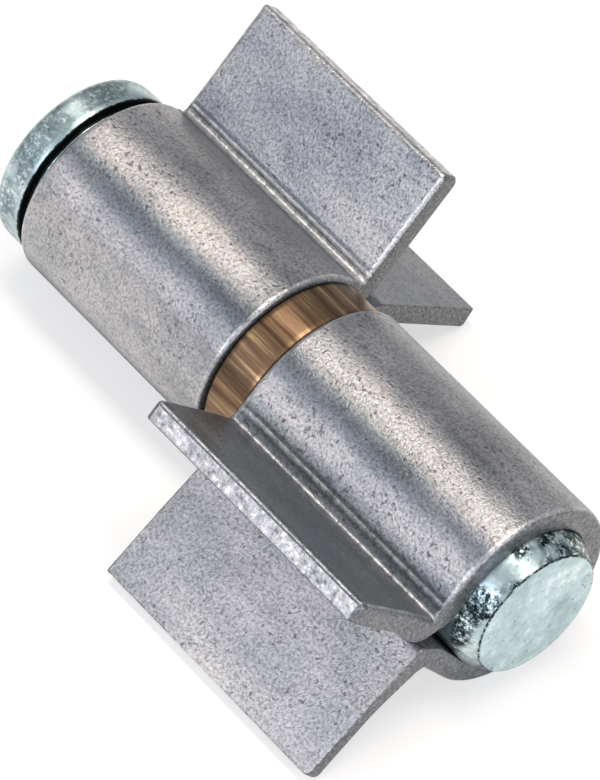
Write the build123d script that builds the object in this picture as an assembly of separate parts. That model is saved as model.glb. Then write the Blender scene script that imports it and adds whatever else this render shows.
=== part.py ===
# Weld-on barrel hinge: two knuckles rolled from steel sheet, a headed pin and a brass ring.
# Units are millimetres. The hinge axis is X, +X runs from the pin head to the pin tip, and Z is up.
# The hinge lies on a flat floor: both barrels and the edges of both back wings touch Z = -BARREL_R.
from math import acos, atan2, cos, degrees, radians, sin, sqrt
import os

from build123d import *

# Pin and bore
PIN_R = 10.0            # turned pin, diameter 20
BORE_R = 10.05          # running clearance of 0.05 on the radius
SHEET = 3.0             # sheet thickness of the knuckles
BARREL_R = BORE_R + SHEET

# Lengths along the hinge axis
RING_GAP = 6.0          # between the two knuckles
RING_LEN = 5.8          # brass ring, 0.1 free on each side
HEAD_SIDE_LEN = 35.0
TIP_SIDE_LEN = 38.0
HEAD_PLAY = 0.9         # left between the pin's collar and the knuckle
COLLAR_LEN = 0.8
HEAD_LEN = 5.0
TIP_OUT = 3.2           # tip standing out of its knuckle
TIP_CHAMFER = 1.25

# Radii of the turned parts
RING_R = 12.4
HEAD_R = 12.25
COLLAR_R = 11.6
TIP_FLAT_R = 8.75

# Wings, seen along the axis with angles from +Y towards +Z. "angle" is the direction of the outer
# face, "offset" its distance from the axis and "reach" the place of the free edge along it.
# "crease" is the distance of the outer bend line from the axis, "side" the way the sheet lies.
HEAD_SIDE_WINGS = (
    {"angle": -35.5, "offset": 6.35, "reach": 31.38, "crease": 14.0, "side": 1},
    {"angle": 46.9, "offset": 4.3, "reach": 29.2, "crease": 13.45, "side": -1},
)
TIP_SIDE_WINGS = (
    {"angle": 136.7, "offset": 5.25, "reach": 29.1, "crease": 13.9, "side": 1},
    {"angle": 218.2, "offset": 7.15, "reach": 30.19, "crease": 14.4, "side": -1},
)
BEND_R = 0.3            # inner radius of the reverse bends
CORNER_R = 1.2          # rounded free corners of the wings
EDGE_R = 0.3            # worn edges of the sheet


def polar(deg, radius=1.0):
    return Vector(radius * cos(radians(deg)), radius * sin(radians(deg)))


def wing_outline(wing):
    """Outer and inner run of one wing, each from the barrel through the reverse bend to the edge."""
    along = polar(wing["angle"])
    inward = Vector(-along.Y, along.X) * wing["side"]
    sharp = along * sqrt(wing["crease"] ** 2 - wing["offset"] ** 2) + inward * wing["offset"]
    # the sheet leaves the barrel on the tangent that meets the outer face at the crease
    leave = degrees(atan2(sharp.Y, sharp.X)) - wing["side"] * degrees(acos(BARREL_R / sharp.length))
    normal = polar(leave)
    # centre of the bend: outside both the tangent and the outer face by the bend radius
    a, b = BARREL_R + BEND_R, wing["offset"] - BEND_R
    det = normal.X * inward.Y - normal.Y * inward.X
    centre = Vector((a * inward.Y - b * normal.Y) / det, (b * normal.X - a * inward.X) / det)
    middle = (inward - normal).normalized()
    runs = []
    for shell, bend in ((BARREL_R, BEND_R), (BORE_R, BEND_R + SHEET)):
        edge = along * wing["reach"] + inward * (wing["offset"] + BARREL_R - shell)
        runs.append((polar(leave, shell), centre - normal * bend, centre + middle * bend,
                     centre + inward * bend, edge))
    return leave, runs


def run_edges(run):
    """Straight lead, bend and flat wing of one face of the sheet."""
    start, bend_in, bend_mid, bend_out, edge = run
    return [Line(start, bend_in), ThreePointArc(bend_in, bend_mid, bend_out), Line(bend_out, edge)]


def knuckle(wings, start, length):
    """One rolled knuckle: open barrel, two reverse bends and two flat wings from a single sheet."""
    (first_leave, first), (second_leave, second) = [wing_outline(wing) for wing in wings]
    # the barrel is the long way round from one bend to the other, away from the wings
    far_side = (first_leave + second_leave) / 2 + (180 if second_leave > first_leave - 180 else 0)
    edges = [Line(runs[0][-1], runs[1][-1]) for runs in (first, second)]
    for run in first + second:
        edges += run_edges(run)
    for shell, one, other in ((BARREL_R, first[0], second[0]), (BORE_R, first[1], second[1])):
        edges.append(ThreePointArc(one[0], polar(far_side, shell), other[0]))
    outline = Wire.combine(edges)[0]
    body = extrude(Plane.YZ.offset(start) * make_face(outline.edges()), amount=length)
    # rounded free corners of the wings, then worn edges all round both faces of the sheet
    lines = body.edges().filter_by(GeomType.LINE)
    body = fillet([e for e in lines if abs(e.length - SHEET) < 0.001], CORNER_R)
    body = fillet([e for e in body.edges() if abs(e.center().X - start) < 0.001], EDGE_R)
    return body


def head_side_knuckle():
    return knuckle(HEAD_SIDE_WINGS, -RING_GAP / 2 - HEAD_SIDE_LEN, HEAD_SIDE_LEN)


def tip_side_knuckle():
    return knuckle(TIP_SIDE_WINGS, RING_GAP / 2, TIP_SIDE_LEN)


def brass_ring():
    """Turned bearing ring between the knuckles, with lightly broken edges."""
    section = Plane.YZ.offset(-RING_LEN / 2) * (Circle(RING_R) - Circle(BORE_R))
    body = extrude(section, amount=RING_LEN)
    rims = body.edges().filter_by(GeomType.CIRCLE).group_by(SortBy.RADIUS)
    body = chamfer(rims[-1], 0.35)
    return chamfer(body.edges().filter_by(GeomType.CIRCLE).group_by(SortBy.RADIUS)[0], 0.2)


def hinge_pin():
    """Turned pin: rounded flat head, thin collar under it, plain shank and chamfered tip."""
    under = -RING_GAP / 2 - HEAD_SIDE_LEN - HEAD_PLAY
    rim = under - COLLAR_LEN
    tip = RING_GAP / 2 + TIP_SIDE_LEN + TIP_OUT
    outline = Polyline(
        (rim - HEAD_LEN, 0),
        (rim - HEAD_LEN, HEAD_R),
        (rim, HEAD_R),
        (rim, COLLAR_R),
        (under, COLLAR_R),
        (under, PIN_R),
        (tip - TIP_CHAMFER, PIN_R),
        (tip, TIP_FLAT_R),
        (tip, 0),
        (rim - HEAD_LEN, 0),
    )
    body = revolve(make_face(outline), Axis.X)
    circles = body.edges().filter_by(GeomType.CIRCLE)
    back = [e for e in circles if abs(e.center().X - rim + HEAD_LEN) < 0.001]
    body = fillet(back, 1.6)
    circles = body.edges().filter_by(GeomType.CIRCLE)
    front = [e for e in circles if abs(e.center().X - rim) < 0.001 and e.radius > HEAD_R - 0.1]
    body = fillet(front, 0.5)
    circles = body.edges().filter_by(GeomType.CIRCLE)
    lip = [e for e in circles if abs(e.center().X - under) < 0.001 and e.radius > COLLAR_R - 0.1]
    return fillet(lip, 0.2)


os.makedirs("parts", exist_ok=True)
for name, body in (
    ("head_side_knuckle", head_side_knuckle()),
    ("tip_side_knuckle", tip_side_knuckle()),
    ("hinge_pin", hinge_pin()),
    ("brass_ring", brass_ring()),
):
    export_step(body, f"parts/{name}.step")
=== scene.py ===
import bpy
from math import acos, atan2, ceil, cos, degrees, hypot, pi, radians, sin, sqrt, tan
from mathutils import Matrix, Vector


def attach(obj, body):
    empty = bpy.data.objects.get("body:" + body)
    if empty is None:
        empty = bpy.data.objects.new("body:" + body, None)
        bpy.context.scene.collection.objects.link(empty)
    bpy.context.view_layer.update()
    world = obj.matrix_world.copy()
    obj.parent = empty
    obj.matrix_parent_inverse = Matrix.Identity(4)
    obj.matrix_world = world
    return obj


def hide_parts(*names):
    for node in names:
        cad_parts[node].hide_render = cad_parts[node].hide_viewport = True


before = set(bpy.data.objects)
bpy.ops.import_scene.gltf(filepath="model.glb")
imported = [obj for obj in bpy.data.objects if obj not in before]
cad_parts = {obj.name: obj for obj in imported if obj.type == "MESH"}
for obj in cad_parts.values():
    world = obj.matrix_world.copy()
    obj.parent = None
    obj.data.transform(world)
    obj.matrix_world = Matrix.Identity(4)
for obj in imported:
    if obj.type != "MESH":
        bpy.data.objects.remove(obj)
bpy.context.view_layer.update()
scene = bpy.context.scene
MM = 0.001


# ---- Head-side knuckle -------------------------------------------------------------------------
# One strip of 3 mm mild steel, sheared to length, rolled round the pin and splayed into two wings.
# The press coins a pair of raised ridges beside the bend of the second wing; they carry a painted
# highlight, with a strip of painted shade beside each.
SHEET = 3.0
BARREL_R = 13.05
BORE_R = BARREL_R - SHEET
RIM_ROLL = 0.75         # the shear rolls the outer edge over
RIM_BURR = 0.22         # and leaves the inner edge sharp
ROLL_STEPS, BURR_STEPS = 6, 3
LENGTH_COLUMNS = 46     # faces along the hinge, closer together near the rims
FLAT_ROWS, BEND_ROWS, BARREL_ROWS = 26, 44, 110
CORNER_STEPS = 10
LINE_WIDTH, LINE_SHADOW = 0.2, 0.75     # raised line left by the press, and the strip of painted shade beside it
LINE_HEIGHT = 0.1
INSIDE_TONE = 0.6       # painted shade: the bore is painted as the darkest face of the strip
HIDDEN_TONE = 0.75      # barrel outside the painted reflection bands


def hex_colour(text):
    """Linear colour of an sRGB hex value."""
    parts = [int(text[i:i + 2], 16) / 255 for i in (1, 3, 5)]
    return [c / 12.92 if c <= 0.04045 else ((c + 0.055) / 1.055) ** 2.4 for c in parts] + [1.0]


def on_circle(radius, degrees_up):
    return Vector((radius * cos(radians(degrees_up)), radius * sin(radians(degrees_up))))


def rounded(corners):
    """Polyline through corners given as (y, z, radius), each corner swept by an arc."""
    points = [Vector(corners[0][:2])]
    for before, here, after in zip(corners, corners[1:], corners[2:]):
        corner, radius = Vector(here[:2]), here[2]
        back = (Vector(before[:2]) - corner).normalized()
        on = (Vector(after[:2]) - corner).normalized()
        half = acos(max(-1.0, min(1.0, back.dot(on)))) / 2
        centre = corner + (back + on).normalized() * (radius / sin(half))
        start = corner + back * (radius / tan(half))
        end = corner + on * (radius / tan(half))
        for i in range(CORNER_STEPS + 1):
            ray = (start - centre).lerp(end - centre, i / CORNER_STEPS)
            points.append(centre + ray.normalized() * radius)
    return points + [Vector(corners[-1][:2])]


def stations(points, fractions):
    """Points at given fractions of a polyline's length."""
    lengths = [0.0]
    for a, b in zip(points, points[1:]):
        lengths.append(lengths[-1] + (b - a).length)
    found, k = [], 0
    for f in fractions:
        want = f * lengths[-1]
        while k < len(points) - 2 and lengths[k + 1] < want:
            k += 1
        span = lengths[k + 1] - lengths[k]
        found.append(points[k].lerp(points[k + 1], (want - lengths[k]) / span if span else 0.0))
    return found


def wing_rows(wing):
    """Outer and inner points of one wing from its free edge to where it joins the barrel."""
    along = on_circle(1.0, wing["angle"])
    inward = Vector((-along.y, along.x)) * wing["side"]
    rows = []
    for corners, face, shell in ((wing["outer"], wing["offset"], BARREL_R),
                                 (wing["inner"], wing["offset"] + wing["sheet"], BORE_R)):
        edge = along * wing["reach"] + inward * face
        flat = along * wing["flat"] + inward * face
        last = on_circle(shell, wing["leave" if shell == BARREL_R else "lip"])
        root = rounded([(*flat, 0), *corners, (*last, 0)])
        spread = [0.5 - 0.5 * cos(pi * i / FLAT_ROWS) for i in range(FLAT_ROWS + 1)]
        evenly_on = [i / BEND_ROWS for i in range(1, BEND_ROWS + 1)]
        rows.append(stations([edge, flat], spread) + stations(root, evenly_on))
    return list(zip(*rows))


# Painted reflection bands along the barrel: (degrees from +Y towards +Z, painted tone)
PAINTED_REFLECTION_BANDS = ((30, 0.64), (40, 0.66), (46, 0.84), (58, 0.95), (72, 1.14), (83, 0.90), (94, 1.00),
              (104, 0.99), (112, 0.94), (118, 0.62), (124, 0.76), (131, 0.98), (139, 1.08), (145, 0.84),
              (152, 0.56))


def painted_band_tone(angle):
    """Painted reflection tone of the barrel's outer face at an angle."""
    angle = angle % 360
    for (a, one), (b, two) in zip(PAINTED_REFLECTION_BANDS, PAINTED_REFLECTION_BANDS[1:]):
        if a <= angle <= b:
            return one + (two - one) * (angle - a) / (b - a)
    return HIDDEN_TONE


def corner_cut(radius, d):
    """How far a rounded corner draws back at a distance d from the edge."""
    return radius - sqrt(radius ** 2 - (radius - min(d, radius)) ** 2)


def sheet_mesh(name, wings, start, end, band_end):
    """The whole rolled strip as one closed mesh: rows along the strip, loops round its thickness.
    band_end is the angle past which the barrel keeps the painted reflection tone it has there."""
    first, second = wing_rows(wings[0]), wing_rows(wings[1])
    turns = []
    for key in ("leave", "lip"):
        one, other = wings[0][key], wings[1][key]
        turns.append((one, (other - one) - (360 if wings[0]["side"] > 0 else 0) * (other > one)
                      + (360 if wings[0]["side"] < 0 else 0) * (other < one)))
    barrel = []
    for i in range(1, BARREL_ROWS):
        pair = [on_circle(shell, a + sweep * i / BARREL_ROWS) for shell, (a, sweep)
                in zip((BARREL_R, BORE_R), turns)]
        barrel.append(tuple(pair))
    path = first + barrel + second[::-1]
    lengths = [0.0]
    for (a, b), (c, d) in zip(path, path[1:]):
        lengths.append(lengths[-1] + ((c + d) / 2 - (a + b) / 2).length)
    total = lengths[-1]
    columns, rim = LENGTH_COLUMNS, ROLL_STEPS + BURR_STEPS
    verts, faces, uvs, sheared, bright, tones = [], [], [], [], [], []

    def add(point, x, uv, torn, shine, tone):
        verts.append((x * MM, point.x * MM, point.y * MM))
        uvs.append(uv)
        sheared.append(torn)
        bright.append(shine)
        tones.append(tone)
        return len(verts) - 1

    rings = []
    for row, ((outer, inner), s) in enumerate(zip(path, lengths)):
        wing, d = (wings[0], s) if s < total / 2 else (wings[1], total - s)
        low, high = start, end
        if d < wing["corner_near"]:
            high -= corner_cut(wing["corner_near"], d)
        if d < wing["corner_far"]:
            low += corner_cut(wing["corner_far"], d)
        thick = (inner - outer).length
        wall = (inner - outer) / thick
        # the free edges are rolled over and burred just as the ends are
        roll, burr = corner_cut(RIM_ROLL, d), corner_cut(RIM_BURR, d)
        # painted highlight along the bends, stronger where the strip turns sharply
        bend = 0.0
        if 0 < row < len(path) - 1 and hypot(*outer) > BARREL_R + 0.1:
            near, far = path[row - 1][0], path[row + 1][0]
            turn = (outer - near).angle(far - outer) / max((far - near).length, 0.2)
            bend = min(1.0, turn * 1.2)
        # painted light and shade of each face: the wing tones, painted reflection bands on the barrel,
        # painted shade in the bore
        face_tones = (wing["outer_tone"], wing["inner_tone"])
        if hypot(*outer) < BARREL_R + 0.25:
            angle = degrees(atan2(outer.y, outer.x)) % 360
            face_tones = (painted_band_tone(min(angle, band_end) if angle < 200 else angle), INSIDE_TONE)
        # the raised press lines carry a painted highlight
        for place in wing["press_lines"]:
            gap = (outer - Vector(place)).length
            if gap < LINE_WIDTH:
                outer = outer - wall * LINE_HEIGHT
                bend = 0.9
            elif gap < LINE_SHADOW:
                # a strip of painted shade beside each press line
                face_tones = (face_tones[0] * 0.62, face_tones[1])
        loop = []
        for i in range(columns + 1):
            f = 0.5 - 0.5 * cos(pi * i / columns)
            loop.append((low + RIM_ROLL + (high - low - 2 * RIM_ROLL) * f, 0.0, 0.0))
        for i in range(1, ROLL_STEPS + 1):
            a = pi / 2 * i / ROLL_STEPS
            loop.append((high - RIM_ROLL + RIM_ROLL * sin(a), RIM_ROLL * (1 - cos(a)), 1.0))
        for i in range(BURR_STEPS):
            a = pi / 2 * i / BURR_STEPS
            loop.append((high - RIM_BURR * (1 - cos(a)), thick - RIM_BURR * (1 - sin(a)), 1.0))
        for i in range(columns + 1):
            f = 0.5 + 0.5 * cos(pi * i / columns)
            loop.append((low + RIM_BURR + (high - low - 2 * RIM_BURR) * f, thick, 0.0))
        for i in range(1, BURR_STEPS + 1):
            a = pi / 2 * i / BURR_STEPS
            loop.append((low + RIM_BURR * (1 - sin(a)), thick - RIM_BURR * (1 - cos(a)), 1.0))
        for i in range(ROLL_STEPS):
            a = pi / 2 * i / ROLL_STEPS
            loop.append((low + RIM_ROLL * (1 - cos(a)), RIM_ROLL * (1 - sin(a)), 1.0))
        ring = []
        for x, t, torn in loop:
            t = min(max(t, roll), thick - burr)
            # painted highlight along the rolled rims of the outer face and near the free edges
            lip = 0.7 if torn and t < 0.2 or d < 0.3 and t < 0.5 else 0.0
            shine = max(lip, bend if t < thick / 2 and not torn else 0.0)
            torn = 1.0 if d < 0.01 else (0.45 if torn and t > 0.3 else 0.0)
            tone = face_tones[0] if t < thick / 2 else face_tones[1]
            uv = (s * MM, x * MM if t < thick / 2 else -x * MM)
            ring.append(add(outer + wall * t, x, uv, torn, shine, tone))
        rings.append(ring)
    for one, two in zip(rings, rings[1:]):
        for i in range(len(one)):
            j = (i + 1) % len(one)
            faces.append((one[i], one[j], two[j], two[i]))
    # each free edge is closed by a grid between its outer and inner face
    for ring, first_edge in ((rings[0], True), (rings[-1], False)):
        top = ring[:columns + 1]
        near_rim = ring[columns + 1:columns + 1 + rim]
        base = ring[columns + 1 + rim:2 * columns + 2 + rim][::-1]
        far_rim = ring[2 * columns + 2 + rim:][::-1]
        lines = [[top[0], *far_rim, base[0]]]
        for up, down in list(zip(top, base))[1:-1]:
            a, b = Vector(verts[up]), Vector(verts[down])
            line = [up]
            for i in range(1, rim + 1):
                p = a.lerp(b, i / (rim + 1)) / MM
                line.append(add(Vector((p.y, p.z)), p.x, uvs[up], 1.0, 0.0, 1.0))
            lines.append(line + [down])
        lines.append([top[-1], *near_rim, base[-1]])
        for one, two in zip(lines, lines[1:]):
            for i in range(rim + 1):
                quad = (one[i], one[i + 1], two[i + 1], two[i])
                faces.append(quad if first_edge else quad[::-1])
    mesh = bpy.data.meshes.new(name)
    mesh.from_pydata(verts, [], faces)
    layer = mesh.uv_layers.new(name="strip")
    for corner in mesh.loops:
        layer.data[corner.index].uv = uvs[corner.vertex_index]
    for label, values in (("sheared", sheared), ("bright", bright), ("tone", tones)):
        mark = mesh.attributes.new(label, "FLOAT", "POINT")
        mark.data.foreach_set("value", values)
    mesh.validate()
    piece = bpy.data.objects.new(name, mesh)
    scene.collection.objects.link(piece)
    return piece


def add_node(tree, kind, settings=None, links=None):
    """One node of a tree: settings by attribute or input name, links as {input: output socket}."""
    node = tree.nodes.new(kind)
    for key, value in (settings or {}).items():
        if isinstance(key, int) or key in node.inputs and not hasattr(node, str(key)):
            node.inputs[key].default_value = value
        else:
            setattr(node, key, value)
    for key, socket in (links or {}).items():
        tree.links.new(socket, node.inputs[key])
    return node


WEAR_SEED = 3.7
WEAR_LEVEL = 0.62       # noise above this stands out, and the rest sinks in


def worn_metal_tree():
    """Geometry Nodes tree: shallow wear all over, deeper tearing where the shear cut the sheet."""
    tree = bpy.data.node_groups.new("worn_metal", "GeometryNodeTree")
    face = tree.interface
    face.new_socket("Geometry", in_out="INPUT", socket_type="NodeSocketGeometry")
    for label, value in (("Wear depth", 0.00002), ("Shear depth", 0.0001), ("Wear size", 0.004),
                         ("Shear size", 0.0012), ("Seed", WEAR_SEED)):
        socket = face.new_socket(label, in_out="INPUT", socket_type="NodeSocketFloat")
        socket.default_value = value
    face.new_socket("Finish", in_out="INPUT", socket_type="NodeSocketMaterial")
    face.new_socket("Geometry", in_out="OUTPUT", socket_type="NodeSocketGeometry")
    start = add_node(tree, "NodeGroupInput")
    place = add_node(tree, "GeometryNodeInputPosition")
    normal = add_node(tree, "GeometryNodeInputNormal")
    mark = add_node(tree, "GeometryNodeInputNamedAttribute", {"data_type": "FLOAT", "Name": "sheared"})
    waves = []
    for size, depth in (("Wear size", "Wear depth"), ("Shear size", "Shear depth")):
        scale = add_node(tree, "ShaderNodeMath", {"operation": "DIVIDE", 0: 1.0},
                         {1: start.outputs[size]})
        noise = add_node(tree, "ShaderNodeTexNoise", {"noise_dimensions": "4D", "Detail": 3.0},
                         {"Vector": place.outputs[0], "Scale": scale.outputs[0],
                          "W": start.outputs["Seed"]})
        centred = add_node(tree, "ShaderNodeMath", {"operation": "SUBTRACT", 1: WEAR_LEVEL},
                           {0: noise.outputs[0]})
        amount = add_node(tree, "ShaderNodeMath", {"operation": "MULTIPLY"},
                          {0: centred.outputs[0], 1: start.outputs[depth]})
        waves.append(amount)
    torn = add_node(tree, "ShaderNodeMath", {"operation": "MULTIPLY"},
                    {0: waves[1].outputs[0], 1: mark.outputs[0]})
    both = add_node(tree, "ShaderNodeMath", {"operation": "ADD"},
                    {0: waves[0].outputs[0], 1: torn.outputs[0]})
    move = add_node(tree, "ShaderNodeVectorMath", {"operation": "SCALE"},
                    {0: normal.outputs[0], "Scale": both.outputs[0]})
    shift = add_node(tree, "GeometryNodeSetPosition", None,
                     {"Geometry": start.outputs["Geometry"], "Offset": move.outputs[0]})
    real = add_node(tree, "GeometryNodeRealizeInstances", None, {0: shift.outputs[0]})
    finish = add_node(tree, "GeometryNodeSetMaterial", None,
                      {"Geometry": real.outputs[0], "Material": start.outputs["Finish"]})
    end = add_node(tree, "NodeGroupOutput")
    tree.links.new(finish.outputs[0], end.inputs[0])
    return tree


WORN_METAL = worn_metal_tree()


def wear(piece, finish, **sizes):
    """Run the wear tree on a piece and keep the result as its plain mesh."""
    ids = {item.name: item.identifier for item in WORN_METAL.interface.items_tree
           if item.in_out == "INPUT"}
    change = piece.modifiers.new("wear", "NODES")
    change.node_group = WORN_METAL
    for label, value in {"seed": WEAR_SEED, **sizes}.items():
        change[ids[label.replace("_", " ").capitalize()]] = value
    change[ids["Finish"]] = finish
    graph = bpy.context.evaluated_depsgraph_get()
    mesh = bpy.data.meshes.new_from_object(piece.evaluated_get(graph), depsgraph=graph)
    piece.modifiers.remove(change)
    piece.data = mesh
    mesh.name = piece.name
    for polygon in mesh.polygons:
        polygon.use_smooth = True


def ramp(node, stops):
    """Colour stops of a ramp, as (place, hex colour)."""
    band = node.color_ramp
    while len(band.elements) > 1:
        band.elements.remove(band.elements[-1])
    for i, (place, text) in enumerate(stops):
        stop = band.elements[0] if i == 0 else band.elements.new(place)
        stop.position = place
        stop.color = hex_colour(text)


def repeat(size):
    """Noise scale for a pattern of a size in millimetres."""
    return 1 / (size * MM)


def pressed_steel():
    """Bare mild steel sheet as pressed: satin grey with lilac and slate patches, dark specks where the
    mill scale stayed in, and paler torn metal where it was sheared. Metallic, roughness about 0.4."""
    material = bpy.data.materials.new("pressed_mild_steel")
    material.use_nodes = True
    tree = material.node_tree
    shader = tree.nodes["Principled BSDF"]
    place = add_node(tree, "ShaderNodeTexCoord").outputs["Object"]
    # clouds about 9 mm across, drawn out a little along the roll
    stretch = add_node(tree, "ShaderNodeMapping", {"Scale": (0.45, 1.0, 1.0)}, {"Vector": place})
    clouds = add_node(tree, "ShaderNodeTexNoise",
                      {"Scale": repeat(9.09), "Detail": 5.0, "Roughness": 0.6},
                      {"Vector": stretch.outputs[0]})
    tint = add_node(tree, "ShaderNodeValToRGB", None, {0: clouds.outputs[0]})
    ramp(tint, ((0.28, "#8f9299"), (0.45, "#adafb6"), (0.58, "#c2c1c6"), (0.72, "#d8d5d6")))
    # grain of the sheet, 0.25 mm, drawn at about 0.4 mm so that it shows
    grain = add_node(tree, "ShaderNodeTexNoise",
                     {"Scale": repeat(0.3846), "Detail": 3.0, "Roughness": 0.7},
                     {"Vector": place})
    grey = add_node(tree, "ShaderNodeValToRGB", None, {0: grain.outputs[0]})
    ramp(grey, ((0.32, "#77777a"), (0.50, "#d6d6d6"), (0.66, "#ffffff")))
    first = add_node(tree, "ShaderNodeMix", {"data_type": "RGBA", "blend_type": "MULTIPLY"})
    first.inputs[0].default_value = 0.75
    tree.links.new(tint.outputs[0], first.inputs[6])
    tree.links.new(grey.outputs[0], first.inputs[7])
    # tone of each face is painted light and shade: painted reflection bands on the barrel, painted
    # shade on the sheltered faces, each wing face lighter or darker as it is lit
    tone = add_node(tree, "ShaderNodeAttribute", {"attribute_name": "tone"})
    # painted shade is tinted cooler and the painted highlights warmer
    cast = add_node(tree, "ShaderNodeValToRGB", None, {0: tone.outputs["Fac"]})
    ramp(cast, ((0.50, "#e0eef6"), (0.85, "#f2f8fb"), (1.00, "#fffefb")))
    cooled = add_node(tree, "ShaderNodeVectorMath", {"operation": "MULTIPLY"},
                      {0: first.outputs[2], 1: cast.outputs[0]})
    toned = add_node(tree, "ShaderNodeVectorMath", {"operation": "SCALE"},
                     {0: cooled.outputs[0], "Scale": tone.outputs["Fac"]})
    # specks of scale 0.3 to 0.6 mm across, gathered in patches
    specks = add_node(tree, "ShaderNodeTexNoise",
                      {"Scale": repeat(0.6667), "Detail": 2.0}, {"Vector": place})
    patches = add_node(tree, "ShaderNodeTexNoise",
                       {"Scale": repeat(14.3), "Detail": 2.0}, {"Vector": place})
    sum_up = add_node(tree, "ShaderNodeMath", {"operation": "MULTIPLY_ADD", 1: 0.35},
                      {0: patches.outputs[0], 2: specks.outputs[0]})
    dark = add_node(tree, "ShaderNodeMapRange", {"From Min": 0.80, "From Max": 0.90, "To Max": 0.7},
                    {"Value": sum_up.outputs[0]})
    second = add_node(tree, "ShaderNodeMix", {"data_type": "RGBA"}, {0: dark.outputs[0]})
    tree.links.new(toned.outputs[0], second.inputs[6])
    second.inputs[7].default_value = hex_colour("#4c4c53")
    # sheared metal: darker, with torn bright ridges across the thickness
    mark = add_node(tree, "ShaderNodeAttribute", {"attribute_name": "sheared"})
    tears = add_node(tree, "ShaderNodeTexNoise",
                     {"Scale": repeat(1.111), "Detail": 4.0, "Roughness": 0.75},
                     {"Vector": place})
    torn = add_node(tree, "ShaderNodeValToRGB", None, {0: tears.outputs[0]})
    ramp(torn, ((0.32, "#5c5d62"), (0.44, "#9b9ca1"), (0.55, "#bdbdc1"), (0.66, "#f0f0f1")))
    cut = add_node(tree, "ShaderNodeMapRange", {"From Min": 0.1, "From Max": 0.4},
                   {"Value": mark.outputs["Fac"]})
    edge = add_node(tree, "ShaderNodeMapRange", {"From Min": 0.5, "From Max": 0.9},
                    {"Value": mark.outputs["Fac"]})
    smeared = add_node(tree, "ShaderNodeValToRGB", None, {0: grain.outputs[0]})
    ramp(smeared, ((0.30, "#44464a"), (0.50, "#65686c"), (0.70, "#8b8d91")))
    ends = add_node(tree, "ShaderNodeMix", {"data_type": "RGBA"}, {0: edge.outputs[0]})
    tree.links.new(smeared.outputs[0], ends.inputs[6])
    tree.links.new(torn.outputs[0], ends.inputs[7])
    third = add_node(tree, "ShaderNodeMix", {"data_type": "RGBA"}, {0: cut.outputs[0]})
    tree.links.new(second.outputs[2], third.inputs[6])
    tree.links.new(ends.outputs[2], third.inputs[7])
    # painted highlight: rolled rims, bends and press lines are painted almost white, broken up by noise
    shine = add_node(tree, "ShaderNodeAttribute", {"attribute_name": "bright"})
    broken = add_node(tree, "ShaderNodeMapRange",
                      {"From Min": 0.42, "From Max": 0.6, "To Min": 0.1, "To Max": 0.62},
                      {"Value": tears.outputs[0]})
    part = add_node(tree, "ShaderNodeMath", {"operation": "MULTIPLY"},
                    {0: shine.outputs["Fac"], 1: broken.outputs[0]})
    fourth = add_node(tree, "ShaderNodeMix", {"data_type": "RGBA"}, {0: part.outputs[0]})
    tree.links.new(third.outputs[2], fourth.inputs[6])
    fourth.inputs[7].default_value = hex_colour("#e6e6e8")
    tree.links.new(fourth.outputs[2], shader.inputs["Base Color"])
    rough = add_node(tree, "ShaderNodeMapRange", {"To Min": 0.28, "To Max": 0.48},
                     {"Value": clouds.outputs[0]})
    tree.links.new(rough.outputs[0], shader.inputs["Roughness"])
    shader.inputs["Metallic"].default_value = 0.85
    relief = add_node(tree, "ShaderNodeMath", {"operation": "MULTIPLY_ADD", 1: -0.6},
                      {0: dark.outputs[0], 2: grain.outputs[0]})
    bump = add_node(tree, "ShaderNodeBump", {"Strength": 0.45, "Distance": 0.00012},
                    {"Height": relief.outputs[0]})
    tree.links.new(bump.outputs[0], shader.inputs["Normal"])
    return material


STEEL = pressed_steel()
# Each wing seen along the hinge: the direction of its outer face in degrees from +Y towards +Z, the
# offset of that face from the axis, the sheet there, where the free edge is and where the flat ends,
# the side on which the sheet lies, the angles at which the outer and inner face leave the barrel, the
# radii of the free corners, the bends as (y, z, radius), the raised press lines, and the face tones,
# which are painted light and shade.
HEAD_SIDE = (
    {"angle": -35.3, "offset": 6.4, "sheet": 3.0, "reach": 31.85, "flat": 17.5, "side": 1,
     "leave": -29.3, "lip": -29.3, "corner_near": 0.6, "corner_far": 0.6,
     "outer": [(13.86, -1.97, 0.8)], "inner": [(12.87, 2.40, 3.3)], "press_lines": [],
     "outer_tone": 0.7, "inner_tone": 0.66},
    {"angle": 46.9, "offset": 4.3, "sheet": 3.0, "reach": 29.5, "flat": 17.5, "side": -1,
     "leave": 42.26, "lip": 42.26, "corner_near": 0.9, "corner_far": 0.4,
     "outer": [(11.85, 6.37, 0.8)], "inner": [(11.82, 1.94, 3.3)],
     "press_lines": [(10.77, 7.55), (12.75, 7.33)], "outer_tone": 0.9, "inner_tone": 0.7},
)
HEAD_BAND_END = 140
WEAR_DEPTH, WEAR_SIZE = 0.05 * MM, 6 * MM       # soft unevenness of the pressed sheet
TEAR_DEPTH, TEAR_SIZE = 0.16 * MM, 1.4 * MM     # torn lower part of the sheared edges
head_knuckle = sheet_mesh("head_knuckle_sheet", HEAD_SIDE, -38.0, -3.0, HEAD_BAND_END)
wear(head_knuckle, STEEL, wear_depth=WEAR_DEPTH, shear_depth=TEAR_DEPTH, wear_size=WEAR_SIZE,
     shear_size=TEAR_SIZE)
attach(head_knuckle, "head_side")
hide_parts("head_side_knuckle")


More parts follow.
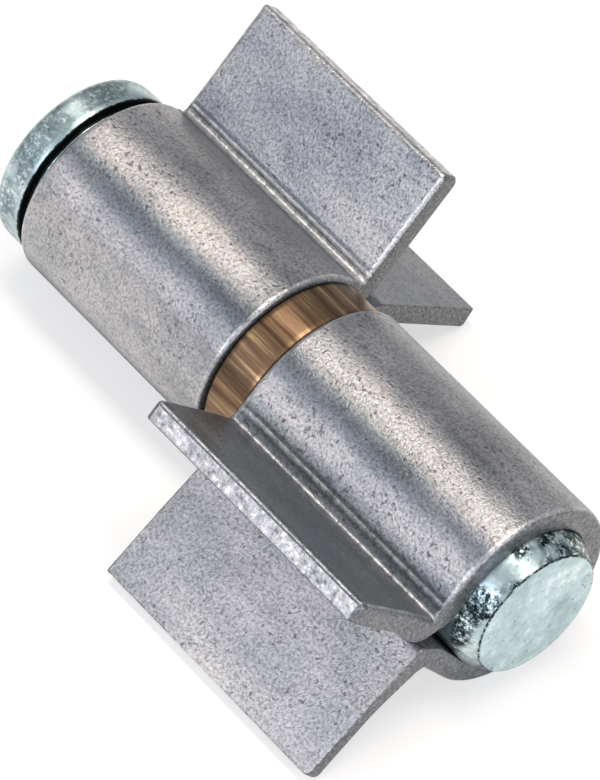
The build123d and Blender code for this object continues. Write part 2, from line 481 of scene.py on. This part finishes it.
# ---- Tip-side knuckle --------------------------------------------------------------------------
# The same strip for the other leaf, 3 mm longer. Its wings came out of the press a little thinner,
# and the lower one leaves the barrel in a slow curve before it runs flat.
TIP_SIDE = (
    {"angle": 136.7, "offset": 5.25, "sheet": 2.8, "reach": 29.3, "flat": 19.5, "side": 1,
     "leave": 138.7, "lip": 155.0, "corner_near": 1.1, "corner_far": 0.8,
     "outer": [(-13.35, 5.10, 0.35), (-12.15, 6.15, 0.5)],
     "inner": [(-15.75, 2.35, 3.0), (-10.9, 2.95, 0.8)],
     "press_lines": [(-11.95, 6.36)], "outer_tone": 0.55, "inner_tone": 0.8},
    {"angle": 218.2, "offset": 7.7, "sheet": 2.45, "reach": 31.15, "flat": 21.5, "side": -1,
     "leave": 221.0, "lip": 213.0, "corner_near": 1.0, "corner_far": 0.3,
     "outer": [(-19.4, -5.85, 8.0), (-15.0, -3.5, 1.2), (-13.9, -3.35, 0.4)],
     "inner": [(-14.6, 0.93, 1.3), (-11.6, -1.15, 4.5)], "press_lines": [],
     "outer_tone": 0.7, "inner_tone": 0.98},
)
TIP_BAND_END = 180
tip_knuckle = sheet_mesh("tip_knuckle_sheet", TIP_SIDE, 3.0, 41.0, TIP_BAND_END)
wear(tip_knuckle, STEEL, wear_depth=WEAR_DEPTH, shear_depth=TEAR_DEPTH, wear_size=WEAR_SIZE,
     shear_size=TEAR_SIZE)
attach(tip_knuckle, "tip_side")
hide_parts("tip_side_knuckle")


# ---- Brass ring --------------------------------------------------------------------------------
# A bearing ring parted off brass bar, free on the pin between the two knuckles.
# Dull brown-gold from handling, with axial streaks of painted reflection and bright broken edges.
RING_HALF = 2.9
RING_R = 12.4
RING_BORE_R = BORE_R + 0.02
RING_EDGE = 0.35        # broken outer edges
RING_BORE_EDGE = 0.2


TURN_STEPS = 144
SKIN_R = 8.3            # marks lie outside this radius only


def turned(name, profile, reflection_patches=(), darkened=()):
    """Closed mesh of a profile of (x, radius) points turned about the hinge axis. Its faces point
    outwards when the profile runs anticlockwise, with x to the right and the radius up. The stretches
    of painted reflection, and of painted shade and dark spots, are given as (from x, to x, amount)."""
    verts, faces, rows = [], [], []
    for x, r in profile:
        ring = []
        for i in range(TURN_STEPS if r > 0 else 1):
            a = 2 * pi * i / TURN_STEPS
            ring.append(len(verts))
            verts.append((x * MM, r * cos(a) * MM, r * sin(a) * MM))
        rows.append(ring)
    if profile[0][1] > 0:
        # a profile that comes back to its start closes on its first row
        rows[-1] = rows[0]
        del verts[-TURN_STEPS:]
    for one, two in zip(rows, rows[1:]):
        for i in range(TURN_STEPS):
            quad = [one[i % len(one)], two[i % len(two)],
                    two[(i + 1) % len(two)], one[(i + 1) % len(one)]]
            faces.append(tuple(dict.fromkeys(quad)))
    mesh = bpy.data.meshes.new(name)
    mesh.from_pydata(verts, [], [face for face in faces if len(face) > 2])
    mesh.validate()
    # the painted reflection patches go into the attribute called sheared, and the painted shade with
    # the dark spots into the second attribute
    for label, stretches in (("sheared", reflection_patches), ("shade_and_spot_mask", darkened)):
        amounts = []
        for x, y, z in verts:
            here = [amount for low, high, amount in stretches
                    if low <= x / MM <= high and hypot(y, z) > SKIN_R * MM]
            amounts.append(max(here, default=0.0))
        mesh.attributes.new(label, "FLOAT", "POINT").data.foreach_set("value", amounts)
    piece = bpy.data.objects.new(name, mesh)
    scene.collection.objects.link(piece)
    return piece


def evenly(points, step):
    """The same profile with points added so that no stretch is longer than step."""
    full = [points[0]]
    for a, b in zip(points, points[1:]):
        n = max(1, ceil(hypot(b[0] - a[0], b[1] - a[1]) / step))
        full += [(a[0] + (b[0] - a[0]) * i / n, a[1] + (b[1] - a[1]) * i / n)
                 for i in range(1, n + 1)]
    return full


def dull_brass():
    """Brass bar, turned and handled: brown-gold with axial streaks of painted reflection, roughness
    about 0.35.
    """
    material = bpy.data.materials.new("dull_turned_brass")
    material.use_nodes = True
    tree = material.node_tree
    shader = tree.nodes["Principled BSDF"]
    place = add_node(tree, "ShaderNodeTexCoord").outputs["Object"]
    # painted reflections: streaks 0.5 to 2 mm wide that run along the axis
    along = add_node(tree, "ShaderNodeMapping", {"Scale": (0.06, 1.0, 1.0)}, {"Vector": place})
    reflection_streaks = add_node(tree, "ShaderNodeTexNoise",
                       {"Scale": repeat(1.111), "Detail": 4.0, "Roughness": 0.6},
                       {"Vector": along.outputs[0]})
    tint = add_node(tree, "ShaderNodeValToRGB", None, {0: reflection_streaks.outputs[0]})
    ramp(tint, ((0.32, "#4a3b30"), (0.45, "#6d5745"), (0.56, "#806a54"), (0.68, "#c0a47c")))
    tree.links.new(tint.outputs[0], shader.inputs["Base Color"])
    shader.inputs["Metallic"].default_value = 1.0
    shader.inputs["Roughness"].default_value = 0.36
    bump = add_node(tree, "ShaderNodeBump", {"Strength": 0.25, "Distance": 0.00005},
                    {"Height": reflection_streaks.outputs[0]})
    tree.links.new(bump.outputs[0], shader.inputs["Normal"])
    return material


def ring_profile():
    """Section of the ring, round from the middle of its bore and back."""
    half = [(0.0, RING_BORE_R), (RING_HALF - RING_BORE_EDGE, RING_BORE_R),
            (RING_HALF, BORE_R + RING_BORE_EDGE), (RING_HALF, RING_R - RING_EDGE),
            (RING_HALF - RING_EDGE * 0.3, RING_R - RING_EDGE * 0.3),
            (RING_HALF - RING_EDGE, RING_R), (0.0, RING_R)]
    return half + [(-x, r) for x, r in half[::-1]][1:]


ring = turned("brass_bearing_ring", evenly(ring_profile(), 0.6))
wear(ring, dull_brass(), wear_depth=0.04 * MM, shear_depth=0.0, wear_size=5 * MM, shear_size=1 * MM)
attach(ring, "ring")
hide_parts("brass_ring")


# ---- Hinge pin ---------------------------------------------------------------------------------
# Turned from 20 mm bar with an upset round head and a long taper on the tip, then zinc plated.
# Dark and pale patches of painted reflection lie on the head's rim and the taper.
PIN_R = 10.0
UNDER_HEAD = -38.9
RIM_FRONT = UNDER_HEAD - 0.5
HEAD_BACK = UNDER_HEAD - 5.8
HEAD_R = 12.22
HEAD_CROWN = 1.7        # radius between the head's rim and its back
HEAD_FLAT_IN = 2.5      # the flat of the back ends this far inside the crown
HEAD_DOME = 0.25
RIM_EDGE = 0.5
COLLAR_R = 11.0
COLLAR_LIP_R = 11.2
TIP_END = 44.2
TAPER = 2.9
TIP_FLAT_R = 8.75
TIP_EDGE = 0.3
TIP_FACE_R = 8.2
ZINC_BUILD_UP = 0.1 * MM        # plating stands up where wear would sink in
# painted reflection: dark and pale patches on the taper and the head's rim
PAINTED_REFLECTION_PATCHES = ((TIP_END - 3.5, TIP_END - 0.1, 1.0), (-43.8, -40.0, 0.5))
# painted shade under the head and in the gap to the barrel has amount 2, dark all over; dark spots on
# the tip's edge have amount 1; the lip of the collar is left out
PAINTED_SHADE_AND_SPOTS = ((-39.6, -39.0, 2.0), (-38.8, -38.2, 2.0), (TIP_END - 0.2, TIP_END - 0.01, 1.0))


def zinc_plate():
    """Zinc plate with pale blue-green passivation: satin bright, roughness about 0.3, with clouds
    about 4 mm across and a few dark pits."""
    material = bpy.data.materials.new("passivated_zinc_plate")
    material.use_nodes = True
    tree = material.node_tree
    shader = tree.nodes["Principled BSDF"]
    place = add_node(tree, "ShaderNodeTexCoord").outputs["Object"]
    clouds = add_node(tree, "ShaderNodeTexNoise",
                      {"Scale": repeat(3.846), "Detail": 8.0, "Roughness": 0.72},
                      {"Vector": place})
    tint = add_node(tree, "ShaderNodeValToRGB", None, {0: clouds.outputs[0]})
    ramp(tint, ((0.32, "#82979c"), (0.45, "#99aeb3"), (0.56, "#aec2c7"), (0.70, "#e2e9eb")))
    specks = add_node(tree, "ShaderNodeTexNoise",
                      {"Scale": repeat(0.769), "Detail": 2.0}, {"Vector": place})
    dark = add_node(tree, "ShaderNodeMapRange", {"From Min": 0.68, "From Max": 0.76},
                    {"Value": specks.outputs[0]})
    mixed = add_node(tree, "ShaderNodeMix", {"data_type": "RGBA"}, {0: dark.outputs[0]})
    tree.links.new(tint.outputs[0], mixed.inputs[6])
    mixed.inputs[7].default_value = hex_colour("#3f5557")
    # painted reflection on the taper and the head's rim: dark and pale spots of 0.7 mm in patches of 6
    # mm
    worn = add_node(tree, "ShaderNodeAttribute", {"attribute_name": "sheared"})
    patches = add_node(tree, "ShaderNodeTexNoise",
                       {"Scale": repeat(0.6667), "Detail": 5.0, "Roughness": 0.75},
                       {"Vector": place})
    reflection_patches = add_node(tree, "ShaderNodeValToRGB", None, {0: patches.outputs[0]})
    ramp(reflection_patches, ((0.43, "#101a20"), (0.49, "#33474f"), (0.55, "#8ea5a8"), (0.63, "#f2f6f6")))
    areas = add_node(tree, "ShaderNodeTexNoise",
                     {"Scale": repeat(5.88), "Detail": 2.0}, {"Vector": place})
    held = add_node(tree, "ShaderNodeMapRange", {"From Min": 0.42, "From Max": 0.50},
                    {"Value": areas.outputs[0]})
    share = add_node(tree, "ShaderNodeMath", {"operation": "MULTIPLY"},
                     {0: worn.outputs["Fac"], 1: held.outputs[0]})
    with_reflections = add_node(tree, "ShaderNodeMix", {"data_type": "RGBA"}, {0: share.outputs[0]})
    tree.links.new(mixed.outputs[2], with_reflections.inputs[6])
    tree.links.new(reflection_patches.outputs[0], with_reflections.inputs[7])
    # painted shade under the head and in the gap to the barrel, and dark spots on the tip's edge
    shade_and_spot_mask = add_node(tree, "ShaderNodeAttribute", {"attribute_name": "shade_and_spot_mask"})
    in_spots = add_node(tree, "ShaderNodeMapRange", {"From Min": 0.40, "From Max": 0.52},
                       {"Value": patches.outputs[0]})
    both = add_node(tree, "ShaderNodeMath", {"operation": "ADD"},
                    {0: shade_and_spot_mask.outputs["Fac"], 1: in_spots.outputs[0]})
    dark_share = add_node(tree, "ShaderNodeMath", {"operation": "SUBTRACT", 1: 1.0, "use_clamp": True},
                      {0: both.outputs[0]})
    last = add_node(tree, "ShaderNodeMix", {"data_type": "RGBA"}, {0: dark_share.outputs[0]})
    tree.links.new(with_reflections.outputs[2], last.inputs[6])
    last.inputs[7].default_value = hex_colour("#15191b")
    tree.links.new(last.outputs[2], shader.inputs["Base Color"])
    shader.inputs["Metallic"].default_value = 0.8
    shader.inputs["Roughness"].default_value = 0.33
    bump = add_node(tree, "ShaderNodeBump", {"Strength": 0.5, "Distance": 0.00015},
                    {"Height": clouds.outputs[0]})
    tree.links.new(bump.outputs[0], shader.inputs["Normal"])
    return material


def pin_profile():
    """Section of the pin from the middle of the tip to the middle of the head's back."""
    points = [(HEAD_BACK, 0.0), (HEAD_BACK, HEAD_R - HEAD_CROWN - HEAD_FLAT_IN)]
    for i in range(9):
        a = pi / 2 * i / 8
        points.append((HEAD_BACK + HEAD_DOME + HEAD_CROWN * (1 - cos(a)),
                       HEAD_R - HEAD_CROWN + HEAD_CROWN * sin(a)))
    for i in range(5):
        a = pi / 2 * i / 4
        points.append((RIM_FRONT - RIM_EDGE + RIM_EDGE * sin(a), HEAD_R - RIM_EDGE + RIM_EDGE * cos(a)))
    points += [(RIM_FRONT, COLLAR_R), (UNDER_HEAD, COLLAR_LIP_R), (UNDER_HEAD, PIN_R),
               (TIP_END - TAPER, PIN_R - 0.02)]
    for i in range(4):
        a = pi / 2 * i / 3
        points.append((TIP_END - TIP_EDGE + TIP_EDGE * sin(a), TIP_FLAT_R - 0.25 + TIP_EDGE * cos(a)))
    points += [(TIP_END, TIP_FACE_R), (TIP_END, 0.0)]
    return evenly(points, 0.5)[::-1]


pin = turned("plated_hinge_pin", pin_profile(), PAINTED_REFLECTION_PATCHES, PAINTED_SHADE_AND_SPOTS)
wear(pin, zinc_plate(), wear_depth=-ZINC_BUILD_UP, shear_depth=0.0, wear_size=3 * MM,
     shear_size=1 * MM)
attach(pin, "pin")
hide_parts("hinge_pin")


# ---- Floor, light and camera -------------------------------------------------------------------
# A plain white floor that keeps the soft shadow, and long soft panels that lie along the barrel,
# so that the rolled steel shows them as bands.
FLOOR_HALF = 4.0        # metres
FLOOR_Z = -BARREL_R * MM - 0.0002
FLOOR_GLOW = 0.6        # share of plain white that the camera sees on the floor
floor_mesh = bpy.data.meshes.new("floor")
floor_mesh.from_pydata([(x * FLOOR_HALF, y * FLOOR_HALF, FLOOR_Z)
                        for x, y in ((-1, -1), (1, -1), (1, 1), (-1, 1))], [], [(0, 1, 2, 3)])
floor = bpy.data.objects.new("floor", floor_mesh)
scene.collection.objects.link(floor)
paint = bpy.data.materials.new("white_floor")
paint.use_nodes = True
floor_tree = paint.node_tree
matt = floor_tree.nodes["Principled BSDF"]
matt.inputs["Base Color"].default_value = hex_colour("#f4f4f4")
matt.inputs["Roughness"].default_value = 0.9
glow = add_node(floor_tree, "ShaderNodeEmission", {"Color": hex_colour("#ffffff"), "Strength": 1.0})
seen = add_node(floor_tree, "ShaderNodeLightPath")
share = add_node(floor_tree, "ShaderNodeMath", {"operation": "MULTIPLY", 1: FLOOR_GLOW},
                 {0: seen.outputs["Is Camera Ray"]})
soft = add_node(floor_tree, "ShaderNodeMixShader", None,
                {0: share.outputs[0], 1: matt.outputs[0], 2: glow.outputs[0]})
floor_tree.links.new(soft.outputs[0], floor_tree.nodes["Material Output"].inputs[0])
floor_mesh.materials.append(paint)


def panel(name, place, size, power, tone):
    """Soft rectangular lamp at a place in metres, facing the hinge, with its length along it."""
    light = bpy.data.lights.new(name, "AREA")
    light.shape = "RECTANGLE"
    light.size, light.size_y = size
    light.energy = power
    light.color = hex_colour(tone)[:3]
    lamp = bpy.data.objects.new(name, light)
    away = -Vector(place).normalized()
    side = Vector((1, 0, 0)) - away * away.x
    side.normalize()
    turn = Matrix((side, (-away).cross(side), -away)).transposed()
    lamp.matrix_world = Matrix.Translation(Vector(place)) @ turn.to_4x4()
    scene.collection.objects.link(lamp)


panel("top_panel", (0.0, 0.05, 0.9), (0.9, 0.22), 7.5, "#fff2e2")
panel("front_panel", (0.1, -0.8, 0.5), (0.9, 0.16), 4.0, "#f4f7ff")
panel("left_panel", (-0.45, -0.62, 0.55), (0.4, 0.3), 0.7, "#fff8f6")
panel("end_panel", (0.8, -0.1, 0.35), (0.3, 0.5), 3.5, "#ffffff")
# a pale room for the metal to mirror, and plain white behind the floor
world = bpy.data.worlds.new("studio")
scene.world = world
world.use_nodes = True
sky = world.node_tree
base = sky.nodes["Background"]
base.inputs["Color"].default_value = hex_colour("#d9dce2")
base.inputs["Strength"].default_value = 0.55
bright = add_node(sky, "ShaderNodeBackground", {"Color": hex_colour("#ffffff"), "Strength": 1.0})
ray = add_node(sky, "ShaderNodeLightPath")
pick = add_node(sky, "ShaderNodeMixShader", None,
                {0: ray.outputs["Is Camera Ray"], 1: base.outputs[0], 2: bright.outputs[0]})
sky.links.new(pick.outputs[0], sky.nodes["World Output"].inputs[0])

# a long lens that looks down along the hinge from beyond its tip
camera = bpy.data.objects.new("camera", bpy.data.cameras.new("camera"))
camera.location = (0.38273, -0.36825, 0.60877)
camera.rotation_euler = (radians(40.751), radians(-4.425), radians(51.075))
camera.data.sensor_fit = "HORIZONTAL"
camera.data.sensor_width = 36
camera.data.lens = 405.86
camera.data.shift_x = -0.0134
camera.data.shift_y = 0.01414
camera.data.clip_end = 100
scene.collection.objects.link(camera)
scene.camera = camera
scene.view_settings.view_transform = "Standard"
